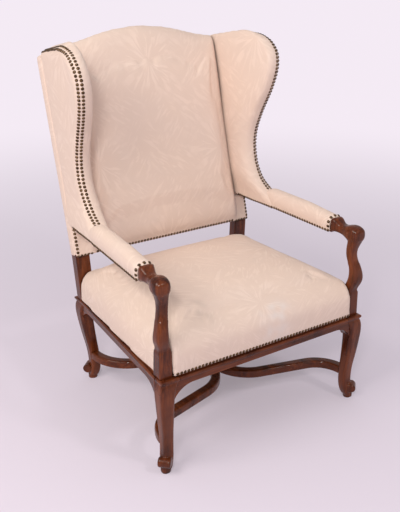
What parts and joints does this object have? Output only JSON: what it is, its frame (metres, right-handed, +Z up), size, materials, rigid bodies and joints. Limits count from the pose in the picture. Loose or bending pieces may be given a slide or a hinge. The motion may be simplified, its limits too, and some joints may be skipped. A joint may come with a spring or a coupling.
{
  "type": "wing armchair",
  "caption": "Open-arm wing chair: carved wooden frame on scroll feet with a curved cross stretcher, padded arms, sprung seat and tall leaning back, edged with domed nails.",
  "frame": {"origin": "on the floor, under the middle of the overall box", "axes": "+Z up, +Y from the front to the back of the chair, +X to the right for someone facing it"},
  "size_m": [0.7564, 0.8072, 1.1336],
  "materials": {
    "show_wood": "dark red-brown hardwood, polished",
    "frame_wood": "plain hardwood, unpolished",
    "cover_cloth": "cream figured cloth, woven tone on tone",
    "stuffing": "matted fibre under calico",
    "webbing": "woven jute tape",
    "canvas": "plain hessian",
    "spring_steel": "coppered spring wire",
    "nail_brass": "antique dark brass, domed heads"
  },
  "bodies": {
    "root": {"front_seat_rail": "show_wood", "rear_seat_rail": "show_wood", "seat_rail_right": "show_wood", "seat_rail_left": "show_wood", "stretcher_right": "show_wood", "stretcher_left": "show_wood", "arm_support_right": "show_wood", "arm_support_left": "show_wood", "arm_right": "show_wood", "arm_left": "show_wood", "front_leg_right": "show_wood", "front_leg_left": "show_wood", "rear_post_right": "show_wood", "rear_post_left": "show_wood", "seat_corner_blocks": "frame_wood", "stretcher_peg": "frame_wood", "arm_dowels": "frame_wood", "lower_back_rail": "frame_wood", "crest_rail": "frame_wood", "wing_upright_right": "frame_wood", "wing_upright_left": "frame_wood", "wing_top_rail_right": "frame_wood", "wing_top_rail_left": "frame_wood", "back_cover": "cover_cloth", "outside_back_cover": "cover_cloth", "arm_cover_right": "cover_cloth", "arm_cover_left": "cover_cloth", "wing_cover_right": "cover_cloth", "wing_cover_left": "cover_cloth", "seat_cover": "cover_cloth", "back_stuffing": "stuffing", "arm_stuffing_right": "stuffing", "arm_stuffing_left": "stuffing", "wing_stuffing_right": "stuffing", "wing_stuffing_left": "stuffing", "seat_stuffing": "stuffing", "back_webbing": "webbing", "seat_webbing": "webbing", "back_canvas": "canvas", "seat_canvas": "canvas", "seat_springs": "spring_steel", "seat_nails": "nail_brass", "back_nails": "nail_brass", "wing_nails_right": "nail_brass", "wing_nails_left": "nail_brass", "arm_nails_right": "nail_brass", "arm_nails_left": "nail_brass"}
  },
  "joints": []
}
